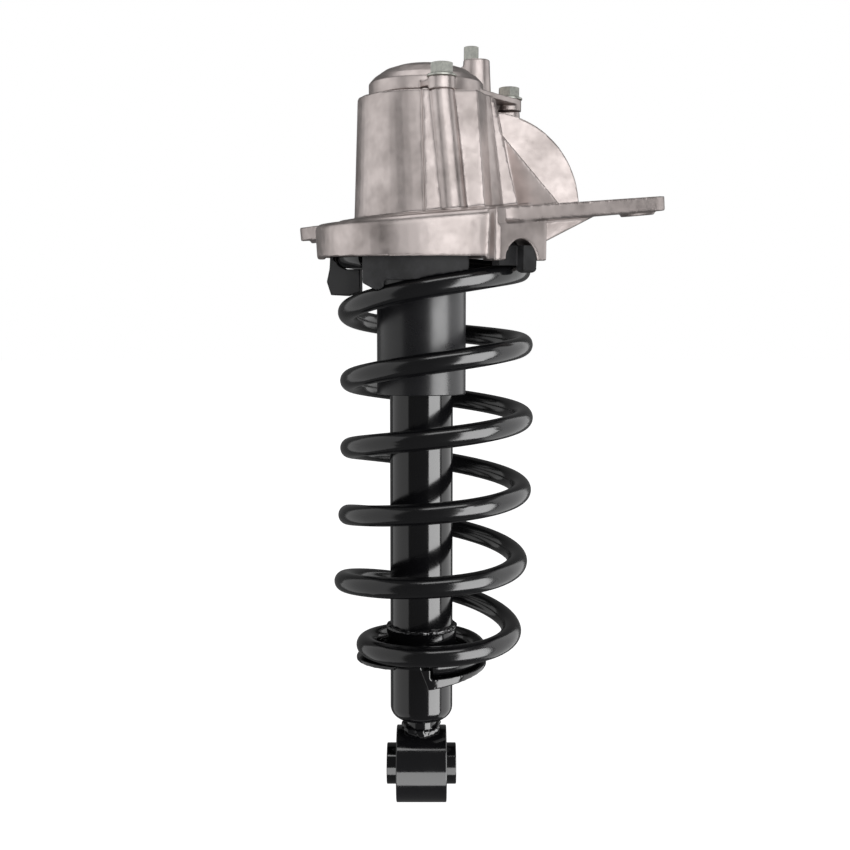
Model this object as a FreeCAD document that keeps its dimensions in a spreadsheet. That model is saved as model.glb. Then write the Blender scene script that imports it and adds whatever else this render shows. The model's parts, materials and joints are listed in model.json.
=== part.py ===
"""Rear strut assembly: cast upper mount, coil spring, telescopic damper and lower eye.

Millimetres. Origin at the centre of the lower eye, +Z up along the strut, +X along the eye's bolt.
The cast mount leans a little towards -Y, so it is modelled upright about the top bush and then tipped.
"""
import FreeCAD, Part
import math
import os
import Sketcher

Vector = FreeCAD.Vector
Rotation = FreeCAD.Rotation
X_AXIS = Vector(1, 0, 0)
Y_AXIS = Vector(0, 1, 0)
Z_AXIS = Vector(0, 0, 1)

SIZES = {
    # lower eye and its rubber bush
    "eye_radius": 24.7, "eye_width": 33, "eye_bore": 20.4,
    "sleeve_radius": 13.2, "sleeve_length": 45.8, "sleeve_bore": 7.1, "running_gap": 0.05,
    # damper
    "tube_radius": 20.5, "tube_wall": 1.6, "tube_bottom": 32, "tube_top": 262, "tube_corner": 8,
    "neck_radius": 10, "base_thick": 2.5,
    "cylinder_bore": 15, "cylinder_wall": 1.2, "foot_height": 12,
    "guide_height": 13, "guide_low": 244, "seal_height": 4.8, "cap_wall": 1.5, "cap_skirt": 12,
    # rod and piston
    "rod_radius": 6.5, "rod_gap": 0.03, "rod_thread": 6, "rod_top": 431, "rod_shoulder": 388,
    "piston_low": 205, "piston_height": 12, "piston_tail": 4, "piston_radius": 14.9, "band_groove": 14.1,
    "disc_radius": 11, "disc_thick": 1, "piston_nut_flats": 13, "piston_nut_height": 6.5,
    "rebound_low": 237.5, "rebound_height": 6.2, "rebound_radius": 12,
    "bump_low": 340, "bump_radius": 24, "cup_thick": 2.5, "cup_radius": 26,
    "dust_radius": 28.75, "dust_wall": 1.8, "dust_low": 246.2,
    # top bush
    "bush_centre": 404, "bush_half": 11.7, "bush_bore": 30.5, "shell_radius": 34, "shell_half": 13,
    "sleeve_top_radius": 12, "washer_thick": 2.5, "washer_radius": 24,
    "rod_nut_flats": 19, "rod_nut_height": 10,
    # spring and its lower seat
    "wire_radius": 6.55, "coil_radius": 55.9, "coil_pitch": 45.26, "coil_start": 322.9,
    "coil_offset": 9.6, "top_wire": 333.9, "end_coil_radius": 36.2,
    "seat_gap": 0.7, "seat_steep": 15, "seat_level": 3.7, "seat_left": 74.3, "seat_front": 78.7,
    "seat_radius": 42.8, "seat_thick": 2.4, "seat_end": -91, "seat_wall_end": -82,
    "seat_flange_low": 63.2, "seat_flange_end": 70, "seat_flange_rise": 8,
    "seat_step_x": -0.5, "seat_step_lean": 21.5,
    "collar_radius": 22.9, "collar_low": 80, "collar_top": 92.3, "seat_weld_radius": 2.1,
    # cast mount, upright about the bush centre
    "case_tilt": 4.2, "flange_slope": 4.65, "flange_dip": 1.6, "flange_height": 360.7, "flange_thick": 9,
    "ear_radius": 17.4, "ear_right": 139, "flange_hole": 5.5, "foot_pad": 1.3,
    "skirt_low": 334.4, "skirt_offset": 5.3, "skirt_radius": 72.6, "skirt_flare": 2.2, "skirt_height": 42,
    "skirt_round": 4.5, "skirt_bore": 67.4, "skirt_roof": 349,
    "tower_base": 52, "tower_top": 433, "tower_draft": 6.75, "tower_offset": 8.7, "tower_foot": 352,
    "cavity_radius": 37, "shoulder_bore": 31, "shoulder_low": 386,
    "fin_radius": 61, "fin_thick": 4, "fin_x": 41, "fin_y": 3, "fin_z": 366, "fin_top": 429,
    "web_y": -16, "web_lean": 0.36, "web_thick": 3, "web_right": 88.5, "web_left": 38, "web_top": 413.5,
    "arch_azimuth": -50, "arch_radius": 13.5, "arch_shift": 2, "block_face": 76, "block_left": -18.5,
    "block_right": 25, "block_round": 3.5,
    # cap and its bolts
    "cap_offset": 3, "cap_gap": 1.3, "cap_radius": 36.3, "cap_rim": 442, "cap_dome": 454, "cap_shell": 4.5,
    "spigot_radius": 33.7, "spigot_bore": 30, "spigot_low": 417.4,
    "bolt_radius": 4, "bolt_flange": 8.9, "bolt_flats": 13, "bolt_head": 8, "bolt_length": 26,
    "bolt_collar": 1.6, "ear_drop": 7.5, "cap_ear_radius": 8.2, "cap_arm": 3.7,
    "post_x": 36, "post_y": 24, "post_radius": 8.6, "post_top": 462,
    "screw_x": 32.5, "screw_flats": 9.4, "screw_head": 8.4, "screw_radius": 3,
    # rubber spring seat in the mount
    "pad_radius": 67.1, "pad_bore": 45, "pad_low": 341, "lip_radius": 66.4, "lip_bore": 63.3,
    "lip_low": 320.5, "backing_low": 329.5, "lip_left": -35.3, "lip_right": 28.5,
    "lug_width": 11, "lug_shift": 2.3, "lug_low": 324.6, "lug_high": 341, "lug_inner": 69,
    "lug_outer": 75.4, "lug_round": 2.5, "lug_base_low": 329, "lug_base_left": -10.5,
    "plug_front": -18, "plug_depth": 26, "plug_level": 327, "wire_gap": 0.4,
}

# The tower's front ribs: corners of the outer face at the foot and at the top, how far back the rib runs,
# and how far its right side spreads on the way.
TOWER_RIBS = {
    "strip": {"foot": [(2.6, -57.5), (12.0, -57.5)], "top": [(0.5, -46.5), (5.0, -46.5)],
              "root": 16, "spread": 0},
    "panel": {"foot": [(22.0, -53.0), (38.6, -54.5)], "top": [(14.0, -41.0), (33.3, -40.5)],
              "root": 15, "spread": 6},
    "wedge": {"foot": [(52.1, -33.0), (63.0, -33.0)], "top": [(42.4, -20.0), (44.0, -20.0)],
              "root": 22, "spread": 0},
}

doc = FreeCAD.newDocument("strut_assembly")
sheet = doc.addObject("Spreadsheet::Sheet", "Sizes")
for row, (alias, number) in enumerate(SIZES.items(), start=1):
    sheet.set(f"A{row}", str(number))
    sheet.setAlias(f"A{row}", alias)
doc.recompute()


# ---------------------------------------------------------------- helpers

def size(alias):
    """A driving dimension, read from the sheet."""
    return float(sheet.get(alias))


def value(expression):
    """The number that an expression on the sheet comes to."""
    return float(sheet.evalExpression(expression))


def bind(thing, **expressions):
    """Tie properties of a document object to expressions on the sheet."""
    for name, expression in expressions.items():
        thing.setExpression(name.replace("__", "."), expression)


def origin_plane(body, role):
    """The body's own origin plane of that role."""
    return next(item for item in body.Origin.OriginFeatures if item.Role == role)


def sketch_outline(body, role, outline):
    """A closed sketch whose corners are tied to pairs of expressions."""
    sketch = body.newObject("Sketcher::SketchObject", body.Name + "_outline")
    sketch.AttachmentSupport = (origin_plane(body, role), "")
    sketch.MapMode = "FlatFace"
    corners = [(value(across), value(up)) for across, up in outline]
    count = len(corners)
    for index, (across, up) in enumerate(corners):
        far = corners[(index + 1) % count]
        sketch.addGeometry(Part.LineSegment(Vector(across, up, 0), Vector(far[0], far[1], 0)), False)
    for index in range(count):
        sketch.addConstraint(Sketcher.Constraint("Coincident", index, 2, (index + 1) % count, 1))
    for index, (across, up) in enumerate(corners):
        for kind, number, expression in (("DistanceX", across, outline[index][0]),
                                         ("DistanceY", up, outline[index][1])):
            place = sketch.addConstraint(Sketcher.Constraint(kind, -1, 1, index, 1, number))
            sketch.setExpression(f"Constraints[{place}]", expression)
    return sketch


def turned(label, outline, axis="V_Axis"):
    """A turned piece: (radius, height) about Z, or (distance, radius) about X with H_Axis."""
    body = doc.addObject("PartDesign::Body", label)
    sketch = sketch_outline(body, "XZ_Plane", outline)
    turn = body.newObject("PartDesign::Revolution", label + "_turn")
    turn.Profile = sketch
    turn.ReferenceAxis = (sketch, [axis])
    turn.Angle = 360
    doc.recompute()
    return body


def rounded(body, radius, chosen):
    """Round the edges of a body's last feature that the test picks."""
    last = body.Tip
    names = [f"Edge{index}" for index, edge in enumerate(last.Shape.Edges, start=1) if chosen(edge)]
    fillet = body.newObject("PartDesign::Fillet", body.Name + "_round")
    fillet.Base = (last, names)
    bind(fillet, Radius=radius)
    body.Tip = fillet
    doc.recompute()
    return body


def is_circle(radius, height=None, along=None):
    """A test for an edge that is a full circle of that radius, at a height or a distance along X."""
    def test(edge):
        curve = edge.Curve
        if not isinstance(curve, Part.Circle) or abs(curve.Radius - radius) > 0.01:
            return False
        if along is not None:
            return abs(abs(curve.Center.x) - along) < 0.01
        return height is None or abs(curve.Center.z - height) < 0.01
    return test


def ring(label, inner, outer, low, high):
    """A plain ring about the strut's axis."""
    return turned(label, [(inner, low), (outer, low), (outer, high), (inner, high)])


def feature(label, shape, placement=None):
    """A piece made with Part's own functions."""
    piece = doc.addObject("Part::Feature", label)
    piece.Shape = shape
    if placement is not None:
        piece.Placement = placement
    return piece


def disc(radius, low, high, x=0.0, y=0.0):
    """A solid cylinder about a vertical axis."""
    return Part.makeCylinder(radius, high - low, Vector(x, y, low))


def hexagon(flats, low, high, x=0.0, y=0.0):
    """A six-sided prism of that size across its flats."""
    corner = flats / math.sqrt(3)
    points = []
    for angle in range(0, 361, 60):
        turn = math.radians(angle)
        points.append(Vector(x + corner * math.cos(turn), y + corner * math.sin(turn), low))
    return Part.Face(Part.makePolygon(points)).extrude(Z_AXIS * (high - low))


def prism(points, direction):
    """A closed flat outline, given as vectors, pushed along a direction."""
    return Part.Face(Part.makePolygon(points + points[:1])).extrude(direction)


def link(near, near_radius, far, far_radius, low, high):
    """Two upright discs and the straight web that is tangent to both."""
    run = Vector(far[0] - near[0], far[1] - near[1], 0)
    heading = math.atan2(run.y, run.x)
    lean = math.acos((near_radius - far_radius) / run.Length)
    points = []
    for centre, radius, side in ((near, near_radius, 1), (far, far_radius, 1),
                                 (far, far_radius, -1), (near, near_radius, -1)):
        angle = heading + side * lean
        reach = Vector(math.cos(angle), math.sin(angle), 0) * radius
        points.append(Vector(centre[0], centre[1], low) + reach)
    web = prism(points, Z_AXIS * (high - low))
    return web.fuse([disc(near_radius, low, high, *near), disc(far_radius, low, high, *far)])


def fused(shapes):
    """One clean solid from overlapping ones."""
    return shapes[0].fuse(shapes[1:]).removeSplitter()


# ---------------------------------------------------------------- lower eye

def build_lower_eye():
    """The welded ring, its rubber and the steel sleeve that takes the bolt."""
    eye = turned("lower_eye", [("-Sizes.eye_width / 2", "Sizes.eye_bore"),
                               ("Sizes.eye_width / 2", "Sizes.eye_bore"),
                               ("Sizes.eye_width / 2", "Sizes.eye_radius"),
                               ("-Sizes.eye_width / 2", "Sizes.eye_radius")], "H_Axis")
    rounded(eye, "0.8", is_circle(size("eye_radius"), along=size("eye_width") / 2))
    rubber_end = "(Sizes.eye_width / 2 - 1)"
    rubber_bore = "Sizes.sleeve_radius + Sizes.running_gap"
    turned("lower_bush_rubber", [(f"-{rubber_end}", rubber_bore), (rubber_end, rubber_bore),
                                 (rubber_end, "Sizes.eye_bore - 2"), (f"{rubber_end} - 2", "Sizes.eye_bore"),
                                 (f"-{rubber_end} + 2", "Sizes.eye_bore"),
                                 (f"-{rubber_end}", "Sizes.eye_bore - 2")], "H_Axis")
    sleeve = turned("lower_bush_sleeve", [("-Sizes.sleeve_length / 2", "Sizes.sleeve_bore"),
                                          ("Sizes.sleeve_length / 2", "Sizes.sleeve_bore"),
                                          ("Sizes.sleeve_length / 2", "Sizes.sleeve_radius"),
                                          ("-Sizes.sleeve_length / 2", "Sizes.sleeve_radius")], "H_Axis")
    rounded(sleeve, "0.6", is_circle(size("sleeve_radius"), along=size("sleeve_length") / 2))


def build_eye_weld():
    """The short neck under the tube with the bead that joins it to the ring."""
    neck = disc(size("neck_radius"), 0, size("tube_bottom"))
    bead = Part.makeTorus(size("neck_radius"), 1.8, Vector(0, 0, size("eye_radius") - 0.5))
    ring_body = Part.makeCylinder(size("eye_radius"), size("eye_width") + 20, Vector(-30, 0, 0), X_AXIS)
    shape = neck.fuse(bead).cut(ring_body).removeSplitter()
    feature("eye_weld", max(shape.Solids, key=lambda solid: solid.Volume))


# ---------------------------------------------------------------- damper

def build_damper_tube():
    """The outer tube with its rounded base."""
    tube_bore = "Sizes.tube_radius - Sizes.tube_wall"
    tube = turned("damper_tube", [("0", "Sizes.tube_bottom"), ("Sizes.tube_radius", "Sizes.tube_bottom"),
                                  ("Sizes.tube_radius", "Sizes.tube_top"),
                                  (tube_bore, "Sizes.tube_top"),
                                  (tube_bore, "Sizes.tube_bottom + Sizes.base_thick"),
                                  ("0", "Sizes.tube_bottom + Sizes.base_thick")])
    rounded(tube, "Sizes.tube_corner", is_circle(size("tube_radius"), size("tube_bottom")))
    rounded(tube, "Sizes.tube_corner - Sizes.tube_wall",
            is_circle(size("tube_radius") - size("tube_wall"), size("tube_bottom") + size("base_thick")))


def build_tube_head():
    """The guide, seal and pressed cap that close the top of the damper."""
    rod_hole = "Sizes.rod_radius + Sizes.rod_gap"
    tube_bore = "Sizes.tube_radius - Sizes.tube_wall"
    guide_top = "Sizes.guide_low + Sizes.guide_height"
    step = "Sizes.guide_low + 6"
    turned("rod_guide", [(rod_hole, "Sizes.guide_low"), ("Sizes.cylinder_bore", "Sizes.guide_low"),
                         ("Sizes.cylinder_bore", step), (tube_bore, step), (tube_bore, guide_top),
                         (rod_hole, guide_top)])
    ring("rod_seal", rod_hole, tube_bore, guide_top, f"{guide_top} + Sizes.seal_height")
    cap_hole = "Sizes.rod_radius + 0.5"
    cap_outer = "Sizes.tube_radius + Sizes.cap_wall"
    cap = turned("tube_cap", [(cap_hole, "Sizes.tube_top"), ("Sizes.tube_radius", "Sizes.tube_top"),
                              ("Sizes.tube_radius", "Sizes.tube_top - Sizes.cap_skirt"),
                              (cap_outer, "Sizes.tube_top - Sizes.cap_skirt"),
                              (cap_outer, "Sizes.tube_top + Sizes.cap_wall"),
                              (cap_hole, "Sizes.tube_top + Sizes.cap_wall")])
    rounded(cap, "1.2", is_circle(value(cap_outer), size("tube_top") + size("cap_wall")))


def build_pressure_tube():
    """The inner cylinder and the foot valve that it stands on."""
    floor = "Sizes.tube_bottom + Sizes.base_thick"
    foot_step = f"{floor} + 6"
    outer = "Sizes.cylinder_bore + Sizes.cylinder_wall"
    ring("pressure_tube", "Sizes.cylinder_bore", outer, foot_step, "Sizes.guide_low + 6")
    foot_outer = f"{outer} - 3.5"
    turned("foot_valve", [("0", floor), (foot_outer, floor), (outer, f"{floor} + 3"), (outer, foot_step),
                          ("Sizes.cylinder_bore", foot_step),
                          ("Sizes.cylinder_bore", f"{floor} + Sizes.foot_height"),
                          ("0", f"{floor} + Sizes.foot_height")])


# ---------------------------------------------------------------- rod

def build_piston_rod():
    """The rod: tail for the piston, ground shank, and a threaded top above its shoulder."""
    rod = turned("piston_rod", [("0", "Sizes.piston_low - 9"), ("Sizes.piston_tail", "Sizes.piston_low - 9"),
                                ("Sizes.piston_tail", "Sizes.piston_low + Sizes.piston_height + 1"),
                                ("Sizes.rod_radius", "Sizes.piston_low + Sizes.piston_height + 1"),
                                ("Sizes.rod_radius", "Sizes.rod_shoulder"),
                                ("Sizes.rod_thread", "Sizes.rod_shoulder"),
                                ("Sizes.rod_thread", "Sizes.rod_top"), ("0", "Sizes.rod_top")])
    rounded(rod, "0.8", is_circle(size("rod_thread"), size("rod_top")))


def build_piston():
    """The piston with its band, valve discs, nut and the rebound stop above it."""
    low = "Sizes.piston_low"
    high = "Sizes.piston_low + Sizes.piston_height"
    turned("piston", [("Sizes.piston_tail", low), ("Sizes.piston_radius", low),
                      ("Sizes.piston_radius", f"{low} + 3"), ("Sizes.band_groove", f"{low} + 3"),
                      ("Sizes.band_groove", f"{high} - 3"), ("Sizes.piston_radius", f"{high} - 3"),
                      ("Sizes.piston_radius", high), ("Sizes.piston_tail", high)])
    ring("piston_band", "Sizes.band_groove", "Sizes.cylinder_bore - Sizes.rod_gap",
         f"{low} + 3", f"{high} - 3")
    tail = size("piston_tail")
    thick = size("disc_thick")
    discs = []
    for face in (size("piston_low") - thick, size("piston_low") + size("piston_height")):
        plate = disc(size("disc_radius"), face, face + thick)
        discs.append(plate.cut(disc(tail, face - 1, face + thick + 1)))
    feature("valve_discs", Part.Compound(discs))
    nut_top = size("piston_low") - thick
    nut = hexagon(size("piston_nut_flats"), nut_top - size("piston_nut_height"), nut_top)
    feature("piston_nut", nut.cut(disc(tail, nut_top - 20, nut_top + 1)))
    ring("rebound_stop", "Sizes.rod_radius", "Sizes.rebound_radius", "Sizes.rebound_low",
         "Sizes.rebound_low + Sizes.rebound_height")


def build_bump_stop():
    """The waisted foam stop, the cup above it and the dust tube that hangs from the cup."""
    top = "Sizes.rod_shoulder"
    turned("bump_stop", [("Sizes.rod_radius + 0.4", "Sizes.bump_low"),
                         ("Sizes.bump_radius - 8", "Sizes.bump_low"),
                         ("Sizes.bump_radius - 4", "Sizes.bump_low + 6"),
                         ("Sizes.bump_radius - 7", "Sizes.bump_low + 13"),
                         ("Sizes.bump_radius - 2", "Sizes.bump_low + 20"),
                         ("Sizes.bump_radius - 5", "Sizes.bump_low + 27"),
                         ("Sizes.bump_radius", "Sizes.bump_low + 36"), ("Sizes.bump_radius", top),
                         ("Sizes.rod_radius + 0.4", top)])
    skirt_low = f"{top} - 9"
    turned("bump_stop_cup", [("Sizes.rod_thread", top), ("Sizes.bump_radius + 0.2", top),
                             ("Sizes.bump_radius + 0.2", skirt_low), ("Sizes.cup_radius", skirt_low),
                             ("Sizes.cup_radius", f"{top} + Sizes.cup_thick"),
                             ("Sizes.rod_thread", f"{top} + Sizes.cup_thick")])
    flange = f"{top} + Sizes.cup_thick"
    tube = turned("dust_tube", [("Sizes.rod_thread", flange),
                                ("Sizes.dust_radius - Sizes.dust_wall", flange),
                                ("Sizes.dust_radius - Sizes.dust_wall", "Sizes.dust_low"),
                                ("Sizes.dust_radius", "Sizes.dust_low"),
                                ("Sizes.dust_radius", f"{flange} + Sizes.dust_wall"),
                                ("Sizes.rod_thread", f"{flange} + Sizes.dust_wall")])
    rounded(tube, "0.7", is_circle(size("dust_radius"), size("dust_low")))


def build_top_bush():
    """The bonded bush at the top of the rod, its washer and the nut that clamps the stack."""
    low = "Sizes.rod_shoulder + Sizes.cup_thick + Sizes.dust_wall"
    high = "Sizes.bush_centre + Sizes.bush_half"
    ring("bush_sleeve", "Sizes.rod_thread", "Sizes.sleeve_top_radius", low, high)
    crown = "Sizes.bush_bore - 0.4"
    edge = "Sizes.bush_bore - 1.1"
    turned("bush_rubber", [("Sizes.sleeve_top_radius", "Sizes.bush_centre - 10"),
                           (edge, "Sizes.bush_centre - 10"),
                           (crown, "Sizes.bush_centre - 4"), (crown, "Sizes.bush_centre + 4"),
                           (edge, "Sizes.bush_centre + 10"),
                           ("Sizes.sleeve_top_radius", "Sizes.bush_centre + 10")])
    ring("top_washer", "Sizes.rod_thread", "Sizes.washer_radius", high, f"{high} + Sizes.washer_thick")
    nut_low = value(f"{high} + Sizes.washer_thick")
    nut = hexagon(size("rod_nut_flats"), nut_low, nut_low + size("rod_nut_height"))
    feature("rod_nut", nut.cut(disc(size("rod_thread"), nut_low - 1, nut_low + 20)))


# ---------------------------------------------------------------- spring

BODY_TURNS = 5.0
END_BLEND = 0.5
TOP_END = -0.62
BOTTOM_END = 6.22


def seat_drop(turns):
    """How far the end coil has come down past the seat's left side: steep at first, then nearly level."""
    bend = 0.25
    steep = size("seat_steep")
    level = size("seat_level")
    eased = min(max(turns, 0), bend)
    easing = (steep - level) * eased ** 2 / (2 * bend)
    return steep * min(turns, bend) - easing + level * max(turns - bend, 0)


def coil_point(turn):
    """The wire's centre at a number of turns down from the first crest on the +X side."""
    angle = 2 * math.pi * turn
    bow = turn - BODY_TURNS / 2
    centre = size("coil_offset") - 0.85 * bow - 0.657 * bow ** 2
    radius = size("coil_radius")
    lean = (0.0517 - 0.0292 * turn) * radius * math.cos(angle)
    height = size("coil_start") - size("coil_pitch") * turn + lean + 0.0175 * radius * math.sin(angle)
    if turn < 0:
        bow = BODY_TURNS / 2
        centre = size("coil_offset") + 0.85 * bow - 0.657 * bow ** 2
        share = 1 - (1 - min(-turn / END_BLEND, 1.0)) ** 1.5
        lean = math.tan(math.radians(size("case_tilt"))) * -radius * math.sin(angle)
        first = size("coil_start") + 0.0517 * radius
        height = first + (size("top_wire") + lean - first) * share
    if turn > BODY_TURNS:
        share = min((turn - BODY_TURNS) / END_BLEND, 1.0)
        share = share * share * (3 - 2 * share)
        seated = size("seat_left") + size("wire_radius") + size("seat_gap")
        seated -= seat_drop(turn - BODY_TURNS - END_BLEND)
        centre = centre * (1 - share)
        radius = radius + (size("end_coil_radius") - radius) * share
        height = height + (seated - height) * share
    return Vector(centre + radius * math.cos(angle), -radius * math.sin(angle), height)


def coil_heading(turn):
    """The unit direction of the wire's centre line at that turn."""
    step = 0.001
    return (coil_point(turn + step) - coil_point(turn - step)).normalize()


def tangent_arc(start, corner, end):
    """The arc from start to end whose end tangents meet at the corner."""
    middle = (start + end) * 0.5
    rise = (corner - middle).Length
    half = (end - start).Length / 2
    radius = half * (corner - start).Length / rise
    bulge = radius - math.sqrt(radius ** 2 - half ** 2)
    return Part.Arc(start, middle + (corner - middle) * (bulge / rise), end)


def paired_arcs(start, start_heading, end, end_heading):
    """Two arcs, tangent to each other, from one point and heading to the next."""
    run = end - start
    both = start_heading + end_heading
    spread = 2 * (1 - start_heading.dot(end_heading))
    reach = (math.sqrt(run.dot(both) ** 2 + spread * run.dot(run)) - run.dot(both)) / spread
    first = start + start_heading * reach
    last = end - end_heading * reach
    meeting = (first + last) * 0.5
    return [tangent_arc(start, first, meeting), tangent_arc(meeting, last, end)]


def round_wire(start, end, radius):
    """A solid round wire along the spring's centre line between two turns, and its length."""
    steps_per_turn = 6
    count = math.ceil((end - start) * steps_per_turn)
    turns = [start + (end - start) * index / count for index in range(count + 1)]
    arcs = []
    for turn, after in zip(turns, turns[1:]):
        arcs += paired_arcs(coil_point(turn), coil_heading(turn), coil_point(after), coil_heading(after))
    edge = Part.makeCircle(radius, arcs[0].StartPoint, coil_heading(start))
    faces = [Part.Face(Part.Wire(edge))]
    length = 0
    for arc in arcs:
        line = arc.toShape()
        sweep = math.degrees(line.LastParameter - line.FirstParameter)
        faces.append(edge.revolve(line.Curve.Center, line.Curve.Axis, sweep))
        edge = edge.copy()
        edge.rotate(line.Curve.Center, line.Curve.Axis, sweep)
        length += line.Length
    faces.append(Part.Face(Part.Wire(edge)))
    shell = Part.makeShell(faces)
    shell.sewShape()
    return Part.Solid(shell), length


def build_coil_spring():
    """The bowed coil spring: a round wire along tangent arcs, its ends closed on the two seats."""
    wire, length = round_wire(TOP_END, BOTTOM_END, size("wire_radius"))
    print("spring volume over section times length",
          round(wire.Volume / (math.pi * size("wire_radius") ** 2 * length), 4))
    feature("coil_spring", wire)


def wire_clearance():
    """The room that the pieces at the top leave round the wire, in the upright mount's frame."""
    room = round_wire(TOP_END - 0.02, 0.6, size("wire_radius") + size("wire_gap"))[0]
    room.Placement = tipped().inverse()
    return room


def seat_sector(start, end, low, high):
    """A stretch of the seat's plate between two azimuths, rising from one height to another."""
    inner = size("tube_radius") + 0.1
    outer = size("seat_radius")
    turns = (end - start) / 360
    helix = Part.makeHelix((high - low) / turns, high - low, inner)
    corners = [Vector(inner, 0, 0), Vector(outer, 0, 0), Vector(outer, 0, -size("seat_thick")),
               Vector(inner, 0, -size("seat_thick"))]
    plate = Part.Wire(helix).makePipeShell([Part.makePolygon(corners + corners[:1])], True, True)
    plate.rotate(Vector(), Z_AXIS, start)
    plate.translate(Vector(0, 0, low))
    return plate


def seat_flange(end):
    """The turned-down edge under the seat's lower end, with the wall that steps up to its upper end."""
    outer = size("seat_radius") - 0.15
    low = size("seat_flange_low")
    first = size("seat_end")
    step_top = size("seat_front") - size("seat_thick") + 0.1
    rings = []
    for high, last in ((end - 0.5, size("seat_flange_end")), (step_top, size("seat_wall_end"))):
        wall = Part.makeCylinder(outer, high - low, Vector(0, 0, low), Z_AXIS, last - first)
        wall.rotate(Vector(), Z_AXIS, first)
        rings.append(wall.cut(disc(outer - size("seat_thick"), low - 1, high + 1)))
    below = Part.makeBox(100, 120, 20, Vector(0, -60, -20))
    below.rotate(Vector(), Y_AXIS, -size("seat_flange_rise"))
    below.translate(Vector(size("seat_step_x") + 5, 0, low))
    return [wall.cut(below) for wall in rings]


def seat_trim():
    """What is cut off the step's left edge, which leans to the right on its way down."""
    side = Part.makeBox(15, 40, 60, Vector(-15, -60, -40))
    side.rotate(Vector(), Y_AXIS, -size("seat_step_lean"))
    side.translate(Vector(size("seat_step_x"), 0, size("seat_front") - size("seat_thick")))
    return side.common(disc(100, 40, size("seat_front") - size("seat_thick") - 0.05))


def build_lower_seat():
    """The pressed seat that winds round the tube, the collar that carries it and the weld on top."""
    left = size("seat_left")
    rear = left - seat_drop(0.25)
    end = left - seat_drop((180 - size("seat_end")) / 360)
    stops = [(size("seat_end"), end), (90, rear), (180, left), (270, size("seat_front"))]
    sectors = [seat_sector(start, stop, low, high) for (start, low), (stop, high) in zip(stops, stops[1:])]
    plate = fused(sectors + seat_flange(end)).cut(seat_trim())
    feature("lower_spring_seat", max(plate.Solids, key=lambda solid: solid.Volume))
    ring("seat_collar", "Sizes.tube_radius", "Sizes.collar_radius", "Sizes.collar_low", "Sizes.collar_top")
    centre = size("tube_radius") + 1.3
    bead = Part.makeTorus(centre, size("seat_weld_radius"), Vector(0, 0, size("collar_top") + 1.2))
    inside = disc(size("tube_radius"), size("collar_low"), size("collar_top") + 20)
    below = disc(size("collar_radius") + 5, size("collar_low"), size("collar_top"))
    feature("seat_weld", bead.cut(inside.fuse(below)))


# ---------------------------------------------------------------- cast mount

def tipped():
    """The lean of the cast mount: a turn about X through the centre of the top bush."""
    pivot = Vector(0, 0, size("bush_centre"))
    return FreeCAD.Placement(Vector(), Rotation(X_AXIS, size("case_tilt")), pivot)


def on_slope(shape):
    """A shape drawn about the flange's top plane, set at the flange's slope and height."""
    shape.rotate(Vector(), X_AXIS, size("flange_dip"))
    shape.rotate(Vector(), Y_AXIS, -size("flange_slope"))
    shape.translate(Vector(0, 0, size("flange_height")))
    return shape


def below_flange(drop=0):
    """A large block under the flange's top plane, or that far below it."""
    return on_slope(Part.makeBox(400, 300, 120, Vector(-200, -150, -120 - drop)))


def flange_ears():
    """Ear centres in the flange's plane: one beyond the skirt on +X and two behind it."""
    return [(size("ear_right"), 0.0), (-66.0, 40.0), (52.0, 92.0)]


def casting_flange():
    """The sloping plate with three ears, the low pad round the tower's foot and a boss under each hole."""
    thick = size("flange_thick")
    roots = [((40.0, -20.0), 40.0), ((-22.0, 12.0), 40.0), ((30.0, 40.0), 36.0)]
    arms = [link(root, root_radius, ear, size("ear_radius"), -thick, 0)
            for (root, root_radius), ear in zip(roots, flange_ears())]
    bosses = [disc(size("ear_radius") * 0.62, -thick - 2, -thick + 1, *ear) for ear in flange_ears()]
    pad = disc(size("tower_base") + 9.5, -2, size("foot_pad"), size("tower_offset"))
    return [on_slope(shape) for shape in arms + bosses + [pad]]


def casting_skirt():
    """The spring cup under the flange, flared a little towards it, with a rounded shoulder and a foot."""
    low = size("skirt_low")
    radius = size("skirt_radius")
    place = Vector(size("skirt_offset"), 0, low)
    cone = Part.makeCone(radius, radius + size("skirt_flare"), size("skirt_height"), place)
    cup = cone.common(below_flange())
    shoulder = [edge for edge in cup.Edges if edge.BoundBox.ZMin > low + 5 and edge.BoundBox.XLength > 20]
    foot = Part.makeBox(6.5, 12, 3, Vector(size("skirt_offset") - radius + 1.2, -14, low - 1.3))
    return [cup.makeFillet(size("skirt_round"), shoulder), foot]


def casting_tower():
    """The drafted tower, square to the flange and cut level at its top."""
    base = size("tower_base")
    height = 90
    top = base - height * math.tan(math.radians(size("tower_draft")))
    cone = Part.makeCone(base + 2.4, top, height + 20, Vector(size("tower_offset"), 0, -20))
    cone.rotate(Vector(), Y_AXIS, -size("flange_slope"))
    cone.translate(Vector(0, 0, size("flange_height")))
    level = Part.makeBox(300, 300, 120, Vector(-150, -150, size("tower_top") - 120))
    return cone.common(level)


def slanted_rib(foot, top, root, spread):
    """A rib on the tower: its outer face from the foot to the top, run back and spread to its right."""
    back = Vector(0, root, 0)
    aside = Vector(spread, root, 0)
    faces = []
    for corners, height in ((foot, size("tower_foot")), (top, size("tower_top"))):
        left, right = [Vector(x, y, height) for x, y in corners]
        faces.append(Part.makePolygon([left, right, right + aside, left + back, left]))
    return Part.makeLoft(faces, True, True)


def casting_ribs():
    """The ribs on the front of the tower."""
    return [slanted_rib(**rib) for rib in TOWER_RIBS.values()]


def bolt_places():
    """Cap bolts: x, y and the height of the seat under each bolt."""
    return [(12.2, -44.5, 439.4), (58.0, 31.0, 438.0), (-10.0, 45.0, 438.0)]


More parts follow.
